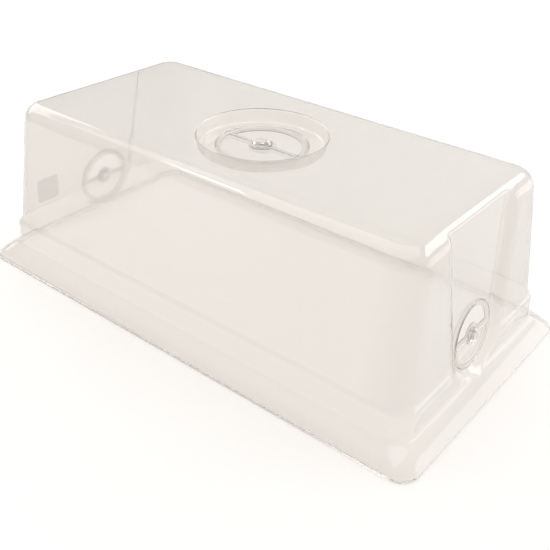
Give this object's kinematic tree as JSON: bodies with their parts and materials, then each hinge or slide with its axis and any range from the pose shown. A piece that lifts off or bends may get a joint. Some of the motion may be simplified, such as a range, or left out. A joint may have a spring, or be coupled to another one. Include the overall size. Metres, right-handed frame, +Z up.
{
  "type": "humidity dome",
  "caption": "Clear humidity dome that covers a seedling tray, with a flared foot, a rotary vent in the top and a rotary vent in a recess in each end.",
  "frame": {"origin": "centre of the base, on the surface that the rim stands on", "axes": "+X along the dome's long way, +Y across it, +Z up"},
  "size_m": [0.545, 0.293, 0.178],
  "materials": {
    "clear_sheet": "clear, glossy thermoformed sheet, very slightly warm",
    "clear_dial": "clear, glossy moulded plastic",
    "label": "blank translucent sticker, satin"
  },
  "bodies": {
    "dome": {"dome_shell": "clear_sheet", "top_vent_rivet": "clear_dial", "right_vent_rivet": "clear_dial", "left_vent_rivet": "clear_dial", "blank_label": "label"},
    "top_dial": {"top_vent_dial": "clear_dial"},
    "right_dial": {"right_vent_dial": "clear_dial"},
    "left_dial": {"left_vent_dial": "clear_dial"}
  },
  "joints": [
    {"name": "top_vent_turn", "type": "hinge", "parent": "dome", "child": "top_dial", "pos_m": [0, 0, 0.1648], "axis": [0, 0, 1], "continuous": true},
    {"name": "right_vent_turn", "type": "hinge", "parent": "dome", "child": "right_dial", "pos_m": [0.24237, 0, 0.05636], "axis": [0.9954, 0, 0.0958], "continuous": true},
    {"name": "left_vent_turn", "type": "hinge", "parent": "dome", "child": "left_dial", "pos_m": [-0.24237, 0, 0.05636], "axis": [-0.9954, 0, 0.0958], "continuous": true}
  ]
}
